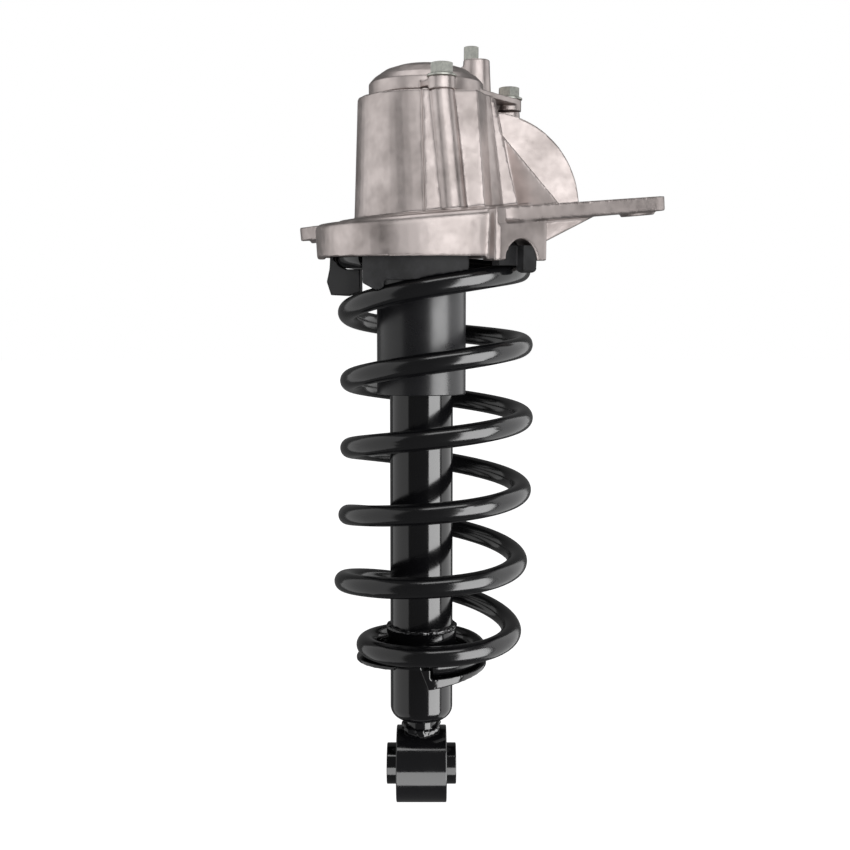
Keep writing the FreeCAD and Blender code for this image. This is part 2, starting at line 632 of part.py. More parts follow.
def casting_bosses():
    """The leaning bosses that take the cap bolts."""
    bosses = []
    for (x, y, seat), (foot_x, foot_y) in zip(bolt_places(), ((19.8, -52.0), (60.0, 36.0), (-10.0, 53.0))):
        top = Vector(x, y, seat - size("ear_drop"))
        foot = Vector(foot_x, foot_y, size("tower_foot"))
        axis = top - foot
        bosses.append(Part.makeCone(8.4, 7.3, axis.Length, foot, axis))
        if x > size("post_x"):
            bosses.append(link((22, 16), 6, (x - 1, y), 6, foot.z, top.z - 1))
    return bosses


def casting_fin():
    """The quarter-disc web on the +X side with its front rib and the gusset under the ear."""
    thick = size("fin_thick")
    radius = size("fin_radius")
    centre = Vector(size("fin_x"), size("fin_y"), size("fin_z"))
    plate = Part.makeCylinder(radius, thick, centre, Y_AXIS, 360)
    window = Part.makeBox(radius + 5, thick + 10, radius + 5, Vector(centre.x + 4, -5, centre.z - 4))
    level = Part.makeBox(200, 60, 100, Vector(-50, -20, size("fin_top") - 100))
    fin = plate.common(window).common(level)
    right = size("web_right")
    corners = [(size("web_left"), 362), (right, centre.z), (50, size("web_top")),
               (size("web_left"), size("web_top"))]
    web = prism([Vector(x, size("web_y") + (right - x) * size("web_lean"), z) for x, z in corners],
                Vector(0, size("web_thick"), 0))
    gusset = prism([Vector(x, -3, z) for x, z in ((70, 343), (77, 343), (112, 361), (70, 361))],
                   Vector(0, 5, 0))
    return [fin, web, gusset]


def in_arch_frame(shape):
    """Turn a shape drawn facing +X about the spring's axis to face the arch."""
    shape.rotate(Vector(), Z_AXIS, size("arch_azimuth"))
    shape.translate(Vector(size("coil_offset"), 0, 0))
    return shape


def casting_arch_block():
    """The thickened corner of the skirt over the arch, and the upright rib at its left end."""
    face = size("block_face")
    inner = face - 19
    left = size("block_left")
    low = size("skirt_low") - 2.5
    width = size("block_right") - left
    block = in_arch_frame(Part.makeBox(face - inner, width, 40, Vector(inner, left, low)))
    block = block.common(below_flange(size("flange_thick") - 1))
    normal = Rotation(Z_AXIS, size("arch_azimuth")).multVec(X_AXIS)

    def on_face(edge):
        """Whether an edge lies in the block's outer face."""
        depths = [(vertex.Point - Vector(size("coil_offset"), 0, 0)).dot(normal) for vertex in edge.Vertexes]
        return all(abs(depth - face) < 0.1 for depth in depths)

    outer = [edge for edge in block.Edges if on_face(edge) and edge.BoundBox.ZMax > low + 1]
    block = block.makeFillet(size("block_round"), outer)
    rib = in_arch_frame(Part.makeBox(face - 1 - inner, 8, 40, Vector(inner, left, low)))
    return [block, rib.common(below_flange())]


def casting_hollows():
    """Everything cut out of the casting: cup, cavity, bush bore, arch, bolt holes."""
    low = size("skirt_low")
    cup = disc(size("skirt_bore"), low - 10, size("skirt_roof"), size("skirt_offset"))
    cavity = disc(size("cavity_radius"), low, size("shoulder_low"))
    shoulder = disc(size("shoulder_bore"), low, size("tower_top") + 5)
    bore = disc(size("shell_radius"), size("bush_centre") - size("shell_half"), size("tower_top") + 5)
    radius = size("arch_radius")
    arch = Part.makeCylinder(radius, 40, Vector(55, size("arch_shift"), low - 3.5), X_AXIS)
    slot = Part.makeBox(40, 2 * radius, 12, Vector(55, size("arch_shift") - radius, low - 15.5))
    holes = [on_slope(disc(size("flange_hole"), -40, 20, *ear)) for ear in flange_ears()]
    taps = [disc(size("bolt_radius") + 0.05, seat - size("bolt_length") - 1, seat + 1, x, y)
            for x, y, seat in bolt_places()]
    return [cup, cavity, shoulder, bore, in_arch_frame(arch), in_arch_frame(slot)] + holes + taps


def build_mount_housing():
    """The die-cast upper mount, returned in its upright frame for the pieces that fit it."""
    solids = [casting_tower()]
    solids += casting_skirt() + casting_arch_block() + casting_flange()
    solids += casting_ribs() + casting_bosses() + casting_fin()
    shape = fused(solids)
    shape = shape.cut(casting_hollows()).removeSplitter()
    shape = max(shape.Solids, key=lambda solid: solid.Volume)
    feature("mount_housing", shape.copy(), tipped())
    return shape


def revolve_about(x, points):
    """A turned solid about an upright axis at x, from (radius, height) points."""
    corners = [Vector(x + radius, 0, height) for radius, height in points]
    face = Part.Face(Part.makePolygon(corners + corners[:1]))
    return face.revolve(Vector(x, 0, 0), Z_AXIS, 360)


def build_mount_cap(housing):
    """The cast cap: rim, shallow dome, ears, spigot and the tall post."""
    x = size("cap_offset")
    low = size("tower_top") + size("cap_gap")
    rim = size("cap_radius")
    edge = size("cap_rim")
    dome = size("cap_dome")
    wall = size("cap_shell")
    outer = revolve_about(x, [(0, low), (rim, low), (rim, edge), (rim - 3.3, edge + 3.6),
                              (rim - 10, edge + 8.2), (rim - 18.3, dome - 1), (0, dome)])
    ear = size("cap_ear_radius")
    roots = [((6, -20), 13.0), ((x, 0), rim - 1), ((x - 8, 12), 20.0)]
    ears = []
    for (bolt_x, bolt_y, seat), (root, root_radius) in zip(bolt_places(), roots):
        ears.append(link(root, root_radius, (bolt_x, bolt_y), ear, low, low + size("cap_arm")))
        ears.append(disc(ear, seat - size("ear_drop"), seat, bolt_x, bolt_y))
    post_place = (size("post_x"), size("post_y"))
    post = Part.makeCone(size("post_radius") + 1.4, size("post_radius"), size("post_top") - low,
                         Vector(*post_place, low))
    web = prism([Vector(12, post_place[1] - 3, low), Vector(post_place[0], post_place[1] - 3, low),
                 Vector(post_place[0], post_place[1] - 3, size("post_top") - 2),
                 Vector(27, post_place[1] - 3, size("post_top") - 4), Vector(19, post_place[1] - 3, dome)],
                Vector(0, 5, 0))
    spigot = disc(size("spigot_radius"), size("spigot_low"), low + 1)
    shape = fused([outer, post, web, spigot] + ears)
    inner = revolve_about(0, [(0, size("spigot_low") - 1), (size("spigot_bore"), size("spigot_low") - 1),
                              (size("spigot_bore") - 1, edge - 1), (16, dome - wall - 1), (0, dome - wall)])
    holes = [disc(size("bolt_radius") + 0.4, seat - 20, seat + 5, bolt_x, bolt_y)
             for bolt_x, bolt_y, seat in bolt_places()]
    top = size("post_top")
    tap = disc(size("screw_radius") + 0.05, top - 19, top + 5, size("screw_x"), post_place[1])
    shape = shape.cut([inner, tap, housing] + holes).removeSplitter()
    feature("mount_cap", max(shape.Solids, key=lambda solid: solid.Volume), tipped())


def build_mount_fasteners():
    """Three flanged bolts in the cap and the small screw in the post."""
    bolts = []
    for x, y, seat in bolt_places():
        shank = disc(size("bolt_radius"), seat - size("bolt_length"), seat + 1, x, y)
        collar = Part.makeCone(size("bolt_flange"), size("bolt_flats") / 2, size("bolt_collar") + 1.2,
                               Vector(x, y, seat))
        washer = disc(size("bolt_flange"), seat, seat + 1.0, x, y)
        head = hexagon(size("bolt_flats"), seat + 1, seat + size("bolt_head"), x, y)
        bolts.append(fused([shank, collar, washer, head]))
    feature("cap_bolts", Part.Compound(bolts), tipped())
    place = (size("screw_x"), size("post_y"))
    top = size("post_top")
    screw = disc(size("screw_radius"), top - 18, top + 1, *place)
    head = hexagon(size("screw_flats"), top, top + size("screw_head"), *place)
    feature("post_screw", fused([screw, head]), tipped())


def build_bush_shell():
    """The steel ring of the top bush, held in the tower's bore."""
    shell = ring("bush_shell", "Sizes.bush_bore", "Sizes.shell_radius",
                 "Sizes.bush_centre - Sizes.shell_half", "Sizes.bush_centre + Sizes.shell_half")
    shell.Placement = tipped()


def lip_tail():
    """The lip's left end, which runs down beside the wire."""
    left = size("lip_left")
    right = left + 13.5
    outline = [(left, 334), (right, 334), (right, 313.2), (right - 6.1, 314.7), (left, 318.6)]
    blank = prism([Vector(x, -80, z) for x, z in outline], Vector(0, 60, 0))
    x = size("skirt_offset")
    return blank.common(disc(size("lip_radius"), 300, 340, x)).cut(disc(size("lip_bore"), 300, 340, x))


def build_upper_insulator(housing):
    """The rubber seat in the cup, with a lip in front of the wire's end, a lug in the arch and a plug."""
    x = size("skirt_offset")
    low = size("pad_low")
    room = wire_clearance()
    pad = disc(size("pad_radius"), low, size("skirt_roof"), x)
    lip = disc(size("lip_radius"), size("lip_low"), low + 1, x)
    lip = lip.cut(disc(size("lip_bore"), size("lip_low") - 1, low + 2, x))
    backing = disc(size("lip_bore") + 0.5, size("backing_low"), low + 1, x)
    front = Part.makeBox(size("lip_right") - size("lip_left"), 60, 60, Vector(size("lip_left"), -80, 300))
    tail = lip_tail()
    shape = fused([pad, lip.common(front), backing.common(front), tail])
    shape = shape.cut([disc(size("pad_bore"), 300, 360, x), room, housing]).removeSplitter()
    feature("upper_insulator", max(shape.Solids, key=lambda solid: solid.Volume), tipped())
    inner = size("lug_inner")
    low = size("lug_low")
    lug = Part.makeBox(size("lug_outer") - inner, size("lug_width"), size("lug_high") - low,
                       Vector(inner, size("arch_shift") + size("lug_shift"), low))
    lug = lug.makeFillet(size("lug_round"), [edge for edge in lug.Edges if edge.BoundBox.ZMax < low + 0.1])
    left = size("lug_base_left")
    base = Part.makeBox(6.5, size("arch_shift") + size("lug_shift") + 2 - left,
                        size("lug_high") - size("lug_base_low"), Vector(63.2, left, size("lug_base_low")))
    lug = in_arch_frame(lug.fuse(base)).cut([room, housing, shape])
    feature("insulator_lug", max(lug.Solids, key=lambda solid: solid.Volume), tipped())
    build_insulator_plug(room, housing, shape)


def build_insulator_plug(room, housing, pad):
    """The plug that holds the wire's end from below, with a wall outside the wire."""
    level = size("plug_level")
    outlines = [[(-58.2, level), (-60.0, level - 8), (-57.4, level - 16.4), (-45.6, level - 17),
                 (-38.8, level - 14.6), (-38.8, level)],
                [(-58.2, level - 1), (-47, level - 1), (-55.4, level + 6), (-55.4, level + 13.8),
                 (-57.4, level + 13.8)]]
    block, wall = [prism([Vector(x, size("plug_front"), z) for x, z in outline],
                         Vector(0, size("plug_depth"), 0)) for outline in outlines]
    plug = fused([block, wall]).cut([room, housing, pad])
    feature("insulator_plug", max(plug.Solids, key=lambda solid: solid.Volume), tipped())


# ---------------------------------------------------------------- build and write

def build_all():
    """Make every piece, from the eye upwards."""
    build_lower_eye()
    build_eye_weld()
    build_damper_tube()
    build_tube_head()
    build_pressure_tube()
    build_piston_rod()
    build_piston()
    build_bump_stop()
    build_top_bush()
    build_coil_spring()
    build_lower_seat()
    housing = build_mount_housing()
    build_mount_cap(housing)
    build_mount_fasteners()
    build_bush_shell()
    build_upper_insulator(housing)


def export_all():
    """Check every object, then write each piece to parts/."""
    doc.recompute()
    for item in doc.Objects:
        if "Invalid" in item.State or "Error" in item.State:
            raise RuntimeError(f"{item.Name} is {item.State}")
    pieces = [item for item in doc.Objects if item.TypeId in ("PartDesign::Body", "Part::Feature")]
    for piece in pieces:
        if piece.Shape.isNull() or not piece.Shape.isValid() or not piece.Shape.Solids:
            raise RuntimeError(f"{piece.Label} has no valid solid")
    os.makedirs("parts", exist_ok=True)
    for piece in pieces:
        piece.Shape.exportStep(os.path.join("parts", piece.Label + ".step"))
        box = piece.Shape.BoundBox
        print(f"{piece.Label:20s} solids {len(piece.Shape.Solids)} volume {piece.Shape.Volume:10.0f}"
              f" x {box.XMin:7.1f} {box.XMax:7.1f} y {box.YMin:7.1f} {box.YMax:7.1f}"
              f" z {box.ZMin:7.1f} {box.ZMax:7.1f}")


build_all()
export_all()
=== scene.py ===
"""Looks of the strut assembly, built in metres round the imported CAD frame.

Each sub-assembly is a class that owns its sizes, makes its meshes and dresses them. Finishes are
frozen dataclasses that build one procedural material each.
"""
import json
import logging
import math
from dataclasses import dataclass, field
from enum import Enum
from typing import Callable, Optional, Sequence

import bmesh
import bpy
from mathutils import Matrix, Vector, noise as lattice

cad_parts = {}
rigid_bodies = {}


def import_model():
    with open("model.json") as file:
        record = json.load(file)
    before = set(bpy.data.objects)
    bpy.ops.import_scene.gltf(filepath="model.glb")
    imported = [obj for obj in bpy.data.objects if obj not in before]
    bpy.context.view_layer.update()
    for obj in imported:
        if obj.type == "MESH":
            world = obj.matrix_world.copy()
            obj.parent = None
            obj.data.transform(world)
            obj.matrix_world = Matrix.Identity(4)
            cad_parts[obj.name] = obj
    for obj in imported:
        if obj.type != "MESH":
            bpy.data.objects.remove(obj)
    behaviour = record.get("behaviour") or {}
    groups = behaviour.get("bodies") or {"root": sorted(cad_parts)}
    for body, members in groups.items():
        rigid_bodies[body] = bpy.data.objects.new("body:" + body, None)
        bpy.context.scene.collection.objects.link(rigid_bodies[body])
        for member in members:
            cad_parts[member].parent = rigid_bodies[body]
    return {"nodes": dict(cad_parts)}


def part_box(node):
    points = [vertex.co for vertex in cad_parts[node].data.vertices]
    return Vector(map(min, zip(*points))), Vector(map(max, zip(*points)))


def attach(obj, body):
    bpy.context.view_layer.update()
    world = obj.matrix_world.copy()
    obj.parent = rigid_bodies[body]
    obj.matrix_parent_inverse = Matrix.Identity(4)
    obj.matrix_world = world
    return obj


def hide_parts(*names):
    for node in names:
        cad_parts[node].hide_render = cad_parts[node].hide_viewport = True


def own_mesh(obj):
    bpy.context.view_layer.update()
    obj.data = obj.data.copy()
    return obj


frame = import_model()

log = logging.getLogger("strut")
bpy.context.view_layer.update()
MM = 0.001
Z_AXIS = (0, 0, 1)
WHITE = (1.0, 1.0, 1.0, 1.0)


class Body(str, Enum):
    """The CAD bodies that the new pieces ride on."""
    MOUNT = "mount"
    ROD = "rod"
    DAMPER = "damper"


# ------------------------------------------------------------------ materials

def linear(hex_colour: str, alpha: float = 1.0) -> tuple[float, float, float, float]:
    """Turn an sRGB hex colour to linear.

    Args:
        hex_colour: Six hex digits, with or without a leading hash.
        alpha: The fourth value of the result.

    Returns:
        Red, green, blue and alpha, linear.
    """
    digits = hex_colour.lstrip("#")
    channels = [int(digits[place:place + 2], 16) / 255 for place in (0, 2, 4)]
    curve = [c / 12.92 if c <= 0.04045 else ((c + 0.055) / 1.055) ** 2.4 for c in channels]
    return (curve[0], curve[1], curve[2], alpha)


def add_node(tree: bpy.types.NodeTree, kind: str, settings: Optional[dict] = None,
             inputs: Optional[dict] = None) -> bpy.types.Node:
    """Add a node with its settings, input values and links.

    Args:
        tree: The node tree.
        kind: The node's type name.
        settings: Attributes of the node.
        inputs: Socket name or index to a value, or to an output socket to link from.

    Returns:
        The node.
    """
    node = tree.nodes.new(kind)
    for name, setting in (settings or {}).items():
        setattr(node, name, setting)
    for name, given in (inputs or {}).items():
        if isinstance(given, bpy.types.NodeSocket):
            tree.links.new(given, node.inputs[name])
        else:
            node.inputs[name].default_value = given
    return node


@dataclass(frozen=True)
class Finish:
    """What every finish shares: a base colour and a roughness. Depths of relief are in mm."""
    name: str
    colour: str
    roughness: float

    def build(self) -> bpy.types.Material:
        """Make the material."""
        material = bpy.data.materials.new(self.name)
        material.use_nodes = True
        tree = material.node_tree
        tree.nodes.clear()
        shader = add_node(tree, "ShaderNodeBsdfPrincipled", None,
                          {"Base Color": linear(self.colour), "Roughness": self.roughness})
        output = add_node(tree, "ShaderNodeOutputMaterial")
        tree.links.new(shader.outputs["BSDF"], output.inputs["Surface"])
        place = add_node(tree, "ShaderNodeTexCoord").outputs["Object"]
        self.dress(tree, shader, place)
        return material

    def dress(self, tree: bpy.types.NodeTree, shader: bpy.types.Node, place: bpy.types.NodeSocket) -> None:
        """Add the finish's own nodes.

        Args:
            tree: The node tree.
            shader: The surface shader.
            place: Object coordinates, in metres.
        """


Span = tuple[float, float]
FULL: Span = (0.0, 1.0)


def noise(tree: bpy.types.NodeTree, place: bpy.types.NodeSocket, grain_mm: float, detail: float = 2.0,
          rough: float = 0.5) -> bpy.types.NodeSocket:
    """Noise whose grain is about that many millimetres across.

    Args:
        tree: The node tree.
        place: Coordinates in metres.
        grain_mm: Size of the largest grain.
        detail: Octaves.
        rough: How strong the finer octaves are.

    Returns:
        The noise value.
    """
    node = add_node(tree, "ShaderNodeTexNoise", None,
                    {"Vector": place, "Scale": 1.0 / (grain_mm * MM), "Detail": detail, "Roughness": rough})
    return node.outputs["Fac"]


def ramp(tree: bpy.types.NodeTree, value: bpy.types.NodeSocket, source: Span,
         target: Span) -> bpy.types.NodeSocket:
    """Map a value from one range to another, clamped.

    Args:
        tree: The node tree.
        value: What is mapped.
        source: Start and end of the range that it comes from.
        target: Start and end of the range that it goes to.

    Returns:
        The mapped value.
    """
    node = add_node(tree, "ShaderNodeMapRange", {"clamp": True},
                    {"Value": value, "From Min": source[0], "From Max": source[1],
                     "To Min": target[0], "To Max": target[1]})
    return node.outputs["Result"]


def mixed(tree: bpy.types.NodeTree, share: bpy.types.NodeSocket, first: str,
          second: str) -> bpy.types.NodeSocket:
    """A colour between two sRGB hex colours.

    Args:
        tree: The node tree.
        share: How much of the second.
        first: The first colour.
        second: The second colour.

    Returns:
        The mixed colour.
    """
    # The node's sockets share their names, so they are told apart by number.
    factor, colour_a, colour_b, colour_result = 0, 6, 7, 2
    node = add_node(tree, "ShaderNodeMix", {"data_type": "RGBA"},
                    {factor: share, colour_a: linear(first), colour_b: linear(second)})
    return node.outputs[colour_result]


def relief(tree: bpy.types.NodeTree, height: bpy.types.NodeSocket, depth_mm: float, strength: float,
           under: Optional[bpy.types.NodeSocket] = None) -> bpy.types.NodeSocket:
    """A bumped normal.

    Args:
        tree: The node tree.
        height: The height pattern, 0 to 1.
        depth_mm: Height of the pattern.
        strength: Strength of the bump.
        under: A normal that this one adds to.

    Returns:
        The normal.
    """
    inputs = {"Height": height, "Distance": depth_mm * MM, "Strength": strength}
    if under is not None:
        inputs["Normal"] = under
    return add_node(tree, "ShaderNodeBump", None, inputs).outputs["Normal"]


@dataclass(frozen=True)
class DieCastAluminium(Finish):
    """Die-cast aluminium, tumbled: warm light grey, with flow clouds and a fine pebbled skin."""
    cloud_colour: str = "#a29996"
    cloud_mm: float = 26.0
    cloud_edges: Span = (0.35, 0.68)
    blotch_mm: float = 5.0
    blotch_edges: Span = (0.3, 0.7)
    smoother: float = 0.06
    rougher: float = 0.08
    skin_mm: float = 0.7
    skin_depth: float = 0.05
    wave_mm: float = 6.0
    wave_depth: float = 0.10

    def dress(self, tree: bpy.types.NodeTree, shader: bpy.types.Node, place: bpy.types.NodeSocket) -> None:
        """Clouds of colour, smaller blotches of roughness, and a pebbled skin over slow waves.

        Args:
            tree: The node tree.
            shader: The surface shader.
            place: Object coordinates, in metres.
        """
        shader.inputs["Metallic"].default_value = 1.0
        clouds = noise(tree, place, self.cloud_mm, detail=3, rough=0.6)
        colour = mixed(tree, ramp(tree, clouds, self.cloud_edges, FULL), self.colour, self.cloud_colour)
        tree.links.new(colour, shader.inputs["Base Color"])
        blotches = noise(tree, place, self.blotch_mm, detail=4, rough=0.6)
        around = (self.roughness - self.smoother, self.roughness + self.rougher)
        tree.links.new(ramp(tree, blotches, self.blotch_edges, around), shader.inputs["Roughness"])
        pebbles = noise(tree, place, self.skin_mm, detail=3, rough=0.6)
        skin = relief(tree, pebbles, self.skin_depth, strength=0.35)
        waves = relief(tree, noise(tree, place, self.wave_mm), self.wave_depth, strength=0.30, under=skin)
        tree.links.new(waves, shader.inputs["Normal"])


@dataclass(frozen=True)
class ZincPlate(Finish):
    """Zinc-plated steel: dull greenish grey with a faint crystalline mottle."""
    mottle_colour: str = "#c9cac2"
    mottle_mm: float = 1.6
    mottle_edges: Span = (0.35, 0.65)
    rough_edges: Span = (0.3, 0.7)
    smoother: float = 0.05
    rougher: float = 0.08
    tooth_mm: float = 0.4
    tooth_depth: float = 0.02

    def dress(self, tree: bpy.types.NodeTree, shader: bpy.types.Node, place: bpy.types.NodeSocket) -> None:
        """A mottle in colour and roughness, over the tooth that the plating leaves.

        Args:
            tree: The node tree.
            shader: The surface shader.
            place: Object coordinates, in metres.
        """
        shader.inputs["Metallic"].default_value = 1.0
        mottle = noise(tree, place, self.mottle_mm, detail=3, rough=0.6)
        colour = mixed(tree, ramp(tree, mottle, self.mottle_edges, FULL), self.colour, self.mottle_colour)
        tree.links.new(colour, shader.inputs["Base Color"])
        around = (self.roughness - self.smoother, self.roughness + self.rougher)
        tree.links.new(ramp(tree, mottle, self.rough_edges, around), shader.inputs["Roughness"])
        tooth = relief(tree, noise(tree, place, self.tooth_mm), self.tooth_depth, strength=0.3)
        tree.links.new(tooth, shader.inputs["Normal"])


@dataclass(frozen=True)
class BlackPaint(Finish):
    """Black paint over steel: a smooth film with a little haze, and the relief that its drying left."""
    index: float = 1.52
    haze_mm: float = 18.0
    haze_edges: Span = (0.35, 0.75)
    hazier: float = 0.07
    film_mm: float = 2.2
    film_depth: float = 0.010
    film_strength: float = 0.5

    def dress(self, tree: bpy.types.NodeTree, shader: bpy.types.Node, place: bpy.types.NodeSocket) -> None:
        """Relief in the film and a trace of handling haze in its roughness.

        Args:
            tree: The node tree.
            shader: The surface shader.
            place: Object coordinates, in metres.
        """
        shader.inputs["IOR"].default_value = self.index
        haze = noise(tree, place, self.haze_mm, detail=4, rough=0.6)
        around = (self.roughness, self.roughness + self.hazier)
        tree.links.new(ramp(tree, haze, self.haze_edges, around), shader.inputs["Roughness"])
        film = relief(tree, noise(tree, place, self.film_mm), self.film_depth, self.film_strength)
        tree.links.new(film, shader.inputs["Normal"])


@dataclass(frozen=True)
class GlossPaint(BlackPaint):
    """Stoved paint or melted powder: deep black, sharp reflections and slight orange peel."""


@dataclass(frozen=True)
class SatinPaint(BlackPaint):
    """Electrocoat: softer, wider reflections than the gloss paint, over a fine even tooth."""
    index: float = 1.5
    haze_mm: float = 14.0
    hazier: float = 0.08
    film_mm: float = 0.5
    film_depth: float = 0.012
    film_strength: float = 0.35


@dataclass(frozen=True)
class MouldedRubber(Finish):
    """Moulded rubber or plastic with a dusty bloom: matt and faintly blotched."""
    bloom: str = "#4a4a4c"
    specular: float = 0.4
    patch_mm: float = 9.0
    patch_edges: Span = (0.4, 0.72)
    rough_edges: Span = (0.3, 0.7)
    either_way: float = 0.08
    grain_mm: float = 0.8
    grain_depth: float = 0.05

    def dress(self, tree: bpy.types.NodeTree, shader: bpy.types.Node, place: bpy.types.NodeSocket) -> None:
        """Bloom in patches over the grain of the mould.

        Args:
            tree: The node tree.
            shader: The surface shader.
            place: Object coordinates, in metres.
        """
        shader.inputs["Specular IOR Level"].default_value = self.specular
        patches = noise(tree, place, self.patch_mm, detail=5, rough=0.65)
        colour = mixed(tree, ramp(tree, patches, self.patch_edges, FULL), self.colour, self.bloom)
        tree.links.new(colour, shader.inputs["Base Color"])
        around = (self.roughness - self.either_way, self.roughness + self.either_way)
        tree.links.new(ramp(tree, patches, self.rough_edges, around), shader.inputs["Roughness"])
        grain = noise(tree, place, self.grain_mm, detail=3, rough=0.6)
        tree.links.new(relief(tree, grain, self.grain_depth, strength=0.4), shader.inputs["Normal"])


@dataclass(frozen=True)
class BareSteel(Finish):
    """Turned or ground steel: neutral grey with faint rings from the tool."""
    ring_mm: float = 0.789
    ring_depth: float = 0.01
    patch_mm: float = 3.0
    patch_edges: Span = (0.3, 0.7)
    smoother: float = 0.04
    rougher: float = 0.06

    def dress(self, tree: bpy.types.NodeTree, shader: bpy.types.Node, place: bpy.types.NodeSocket) -> None:
        """Turning marks along the strut's axis and patches of roughness.

        Args:
            tree: The node tree.
            shader: The surface shader.
            place: Object coordinates, in metres.
        """
        shader.inputs["Metallic"].default_value = 1.0
        # The wave texture repeats at this distance when its scale is one.
        pitch_at_scale_one = math.pi / 10
        rings = add_node(tree, "ShaderNodeTexWave", {"wave_type": "BANDS", "bands_direction": "Z"},
                         {"Vector": place, "Scale": pitch_at_scale_one / (self.ring_mm * MM),
                          "Distortion": 0.4, "Detail": 1.0})
        marks = relief(tree, rings.outputs["Fac"], self.ring_depth, strength=0.2)
        tree.links.new(marks, shader.inputs["Normal"])
        around = (self.roughness - self.smoother, self.roughness + self.rougher)
        patches = noise(tree, place, self.patch_mm, detail=3)
        tree.links.new(ramp(tree, patches, self.patch_edges, around), shader.inputs["Roughness"])


class Finishes:
    """All finishes of the strut, built once."""

    def __init__(self) -> None:
        """Build each material."""
        self.casting = DieCastAluminium("die_cast_aluminium", "#cbc1be", roughness=0.36).build()
        self.zinc = ZincPlate("zinc_plated_steel", "#b4b6b0", roughness=0.38).build()
        self.steel = BareSteel("turned_steel", "#9a9a9c", roughness=0.30).build()
        self.chrome = BareSteel("hard_chromed_rod", "#c9cacc", roughness=0.10).build()
        self.sintered = BareSteel("sintered_iron", "#6b6a68", roughness=0.5).build()
        self.rubber = MouldedRubber("moulded_rubber", "#161617", roughness=0.55, bloom="#29292b").build()
        self.plastic = MouldedRubber("moulded_black_plastic", "#0e0e10", roughness=0.42,
                                     bloom="#1a1a1c").build()
        self.foam = MouldedRubber("foamed_polyurethane", "#b5a36a", roughness=0.8, bloom="#c7b88a").build()
        self.satin = SatinPaint("satin_black_electrocoat", "#0e0e10", roughness=0.27).build()
        self.gloss = GlossPaint("gloss_black_stoved_paint", "#060607", roughness=0.09).build()
        self.powder = GlossPaint("gloss_black_powder_coat", "#070708", roughness=0.15,
                                 film_mm=1.6, film_depth=0.012).build()


# ------------------------------------------------------------------ mesh helpers

# Points of a CAD mesh closer than this are one point.
MERGE_MM = 0.002


def paint(piece: bpy.types.Object, material: bpy.types.Material) -> None:
    """Give a piece one material.

    Args:
        piece: A mesh object.
        material: Its finish.
    """
    if not piece.material_slots:
        piece.data.materials.append(material)
    for slot in piece.material_slots:
        slot.material = material


def pick(piece: bpy.types.Object) -> None:
    """Deselect everything, then select and activate one piece.

    Args:
        piece: The piece to work on.
    """
    bpy.ops.object.select_all(action="DESELECT")
    piece.select_set(True)
    bpy.context.view_layer.objects.active = piece


def apply_modifier(piece: bpy.types.Object, kind: str, **settings: object) -> None:
    """Add a modifier to a piece and apply it.

    Args:
        piece: The piece.
        kind: The modifier's type.
        settings: Its attributes.
    """
    pick(piece)
    modifier = piece.modifiers.new(kind.lower(), kind)
    for name, setting in settings.items():
        setattr(modifier, name, setting)
    bpy.ops.object.modifier_apply(modifier=modifier.name)


def copy_of(node: str, name: str) -> bpy.types.Object:
    """A merged copy of a CAD node, to be worked on.

    Args:
        node: The CAD node.
        name: The new piece's name.

    Returns:
        The new piece.
    """
    piece = bpy.data.objects.new(name, frame["nodes"][node].data.copy())
    bpy.context.scene.collection.objects.link(piece)
    pick(piece)
    bpy.ops.object.mode_set(mode="EDIT")
    bpy.ops.mesh.select_all(action="SELECT")
    bpy.ops.mesh.remove_doubles(threshold=MERGE_MM * MM)
    bpy.ops.object.mode_set(mode="OBJECT")
    return piece


def soften(piece: bpy.types.Object, voxel_mm: float, passes: int, most_triangles: int) -> None:
    """Round a piece's edges as a mould or a press leaves them: remesh it finely, smooth it and thin it.

    Args:
        piece: The piece.
        voxel_mm: Size of the remeshing grid.
        passes: Rounds of smoothing.
        most_triangles: How many triangles may stay.
    """
    apply_modifier(piece, "REMESH", mode="VOXEL", voxel_size=voxel_mm * MM, adaptivity=0.0)
    apply_modifier(piece, "SMOOTH", factor=0.5, iterations=passes)
    triangles = sum(len(face.vertices) - 2 for face in piece.data.polygons)
    if triangles > most_triangles:
        apply_modifier(piece, "DECIMATE", ratio=most_triangles / triangles)
    pick(piece)
    bpy.ops.object.shade_smooth()


def shift_points(piece: bpy.types.Object, move: Callable[[Vector], Vector]) -> None:
    """Move every point of a piece.

    Args:
        piece: The piece.
        move: Gives the new place of a point from its old one.
    """
    for vertex in piece.data.vertices:
        vertex.co = move(vertex.co.copy())
    piece.data.update()


def finish_piece(piece: bpy.types.Object, body: Body, material: bpy.types.Material, slot: str,
                 nodes: Sequence[str] = ()) -> bpy.types.Object:
    """Paint a piece, tie it to its body and hide the CAD nodes that it replaces.

    Args:
        piece: The piece.
        body: The CAD body that it rides on.
        material: Its finish.
        slot: The record's material slot; not used.
        nodes: The CAD nodes that it replaces.

    Returns:
        The piece.
    """
    paint(piece, material)
    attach(piece, body.value)
    if nodes:
        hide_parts(*nodes)
    log.info("made %s on %s, %d faces", piece.name, body.value, len(piece.data.polygons))
    return piece


def joined(pieces: Sequence[bpy.types.Object], name: str) -> bpy.types.Object:
    """Join pieces into one object.

    Args:
        pieces: What is joined.
        name: The joined piece's name.

    Returns:
        The joined piece.
    """
    pick(pieces[0])
    for piece in pieces[1:]:
        piece.select_set(True)
    bpy.ops.object.join()
    pieces[0].name = name
    return pieces[0]


def seat_mesh(piece: bpy.types.Object) -> None:
    """Move an object's place and turn into its mesh.

    Args:
        piece: The piece.
    """
    pick(piece)
    bpy.ops.object.transform_apply(location=True, rotation=True, scale=True)


# ------------------------------------------------------------------ the cast mount

